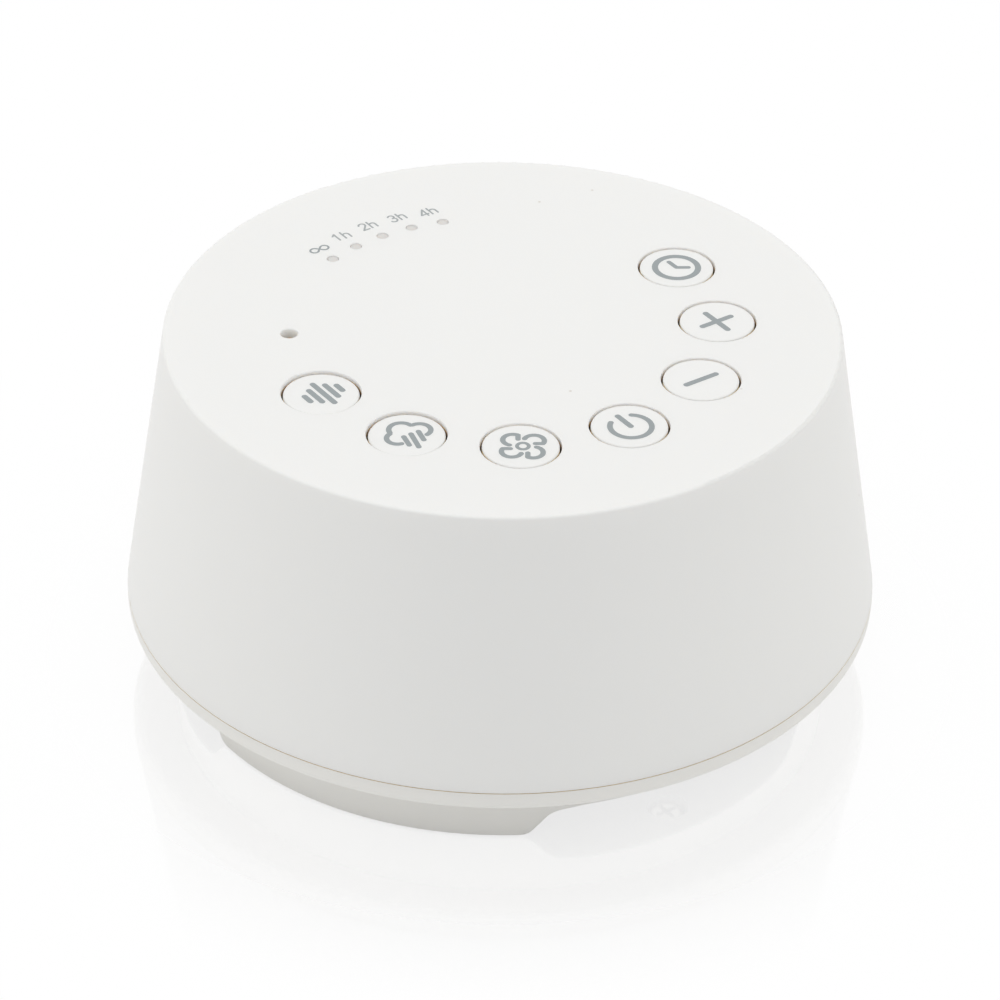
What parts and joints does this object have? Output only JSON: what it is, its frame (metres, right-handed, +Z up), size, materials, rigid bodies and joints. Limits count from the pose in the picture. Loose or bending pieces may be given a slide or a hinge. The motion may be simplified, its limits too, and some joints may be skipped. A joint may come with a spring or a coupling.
{
  "type": "white noise sound machine",
  "caption": "Round tapered bedside sound machine with flush push buttons and timer lamps on top and a loudspeaker that fires down between its feet.",
  "frame": {"origin": "on the axis of the round body, level with the surface that its three rubber pads stand on", "axes": "+Z up through the top face, -Y towards the user (power button), +Y towards the power inlet at the rear, +X to the user's right"},
  "size_m": [0.11, 0.11, 0.0542],
  "materials": {
    "housing_white": "fine satin moulded ABS",
    "base_white": "fine satin moulded ABS",
    "button_white": "fine satin moulded ABS",
    "print_grey": "pad printed ink",
    "lamp_lens": "frosted clear acrylic",
    "led_body": "moulded lamp body",
    "status_lens": "smoked clear lens",
    "pad_rubber": "matt pale rubber",
    "screw_steel": "zinc plated",
    "board_green": "solder mask on glass fibre board",
    "chip_black": "moulded epoxy",
    "can_aluminium": "drawn can",
    "connector_cream": "moulded nylon",
    "switch_black": "moulded body",
    "plunger_white": "moulded plunger",
    "basket_black": "painted pressed steel",
    "foam_black": "closed cell foam",
    "cloth_black": "open woven acoustic cloth",
    "surround_rubber": "butyl rubber",
    "spider_cloth": "impregnated woven cloth",
    "plate_steel": "zinc plated steel",
    "magnet_ferrite": "sintered ferrite",
    "tag_brown": "phenolic board with tinned tabs",
    "wire_red": "PVC insulation",
    "shell_steel": "plated steel shell",
    "cone_paper": "black paper pulp",
    "coil_copper": "enamelled copper winding"
  },
  "bodies": {
    "housing": {"upper_housing": "housing_white", "base_cover": "base_white", "anti_slip_pads": "pad_rubber", "base_screws": "screw_steel", "timer_light_guide": "lamp_lens", "timer_leds": "led_body", "status_led": "status_lens", "control_board": "board_green", "board_screws": "screw_steel", "sound_chip": "chip_black", "amplifier_chip": "chip_black", "memory_chip": "chip_black", "crystal": "can_aluminium", "capacitors": "can_aluminium", "board_connectors": "connector_cream", "speaker_basket": "basket_black", "speaker_screws": "screw_steel", "speaker_gasket": "foam_black", "grille_cloth": "cloth_black", "speaker_surround": "surround_rubber", "speaker_spider": "spider_cloth", "speaker_top_plate": "plate_steel", "speaker_magnet": "magnet_ferrite", "speaker_yoke": "plate_steel", "speaker_terminals": "tag_brown", "speaker_leads": "wire_red", "usb_board": "board_green", "usb_receptacle": "shell_steel", "usb_tongue": "chip_black", "usb_screws": "screw_steel", "usb_leads": "wire_red", "switch_white_noise": "switch_black", "switch_rain_sound": "switch_black", "switch_fan_sound": "switch_black", "switch_power": "switch_black", "switch_minus": "switch_black", "switch_plus": "switch_black", "switch_timer": "switch_black"},
    "diaphragm": {"speaker_cone": "cone_paper", "speaker_dust_cap": "cone_paper", "voice_coil": "coil_copper"},
    "button_white_noise": {"button_white_noise": "button_white", "plunger_white_noise": "plunger_white"},
    "button_rain_sound": {"button_rain_sound": "button_white", "plunger_rain_sound": "plunger_white"},
    "button_fan_sound": {"button_fan_sound": "button_white", "plunger_fan_sound": "plunger_white"},
    "button_power": {"button_power": "button_white", "plunger_power": "plunger_white"},
    "button_minus": {"button_minus": "button_white", "plunger_minus": "plunger_white"},
    "button_plus": {"button_plus": "button_white", "plunger_plus": "plunger_white"},
    "button_timer": {"button_timer": "button_white", "plunger_timer": "plunger_white"}
  },
  "joints": [
    {"name": "press_white_noise", "type": "slide", "parent": "housing", "child": "button_white_noise", "axis": [0, 0, -1], "range_m": [0, 0.0005], "stiffness_N_per_m": 600, "springref_m": -0.0015},
    {"name": "press_rain_sound", "type": "slide", "parent": "housing", "child": "button_rain_sound", "axis": [0, 0, -1], "range_m": [0, 0.0005], "stiffness_N_per_m": 600, "springref_m": -0.0015},
    {"name": "press_fan_sound", "type": "slide", "parent": "housing", "child": "button_fan_sound", "axis": [0, 0, -1], "range_m": [0, 0.0005], "stiffness_N_per_m": 600, "springref_m": -0.0015},
    {"name": "press_power", "type": "slide", "parent": "housing", "child": "button_power", "axis": [0, 0, -1], "range_m": [0, 0.0005], "stiffness_N_per_m": 600, "springref_m": -0.0015},
    {"name": "press_minus", "type": "slide", "parent": "housing", "child": "button_minus", "axis": [0, 0, -1], "range_m": [0, 0.0005], "stiffness_N_per_m": 600, "springref_m": -0.0015},
    {"name": "press_plus", "type": "slide", "parent": "housing", "child": "button_plus", "axis": [0, 0, -1], "range_m": [0, 0.0005], "stiffness_N_per_m": 600, "springref_m": -0.0015},
    {"name": "press_timer", "type": "slide", "parent": "housing", "child": "button_timer", "axis": [0, 0, -1], "range_m": [0, 0.0005], "stiffness_N_per_m": 600, "springref_m": -0.0015},
    {"name": "speaker_stroke", "type": "slide", "parent": "housing", "child": "diaphragm", "axis": [0, 0, 1], "range_m": [-0.001, 0.001], "stiffness_N_per_m": 1200, "deforming": ["speaker_surround", "speaker_spider"]}
  ]
}
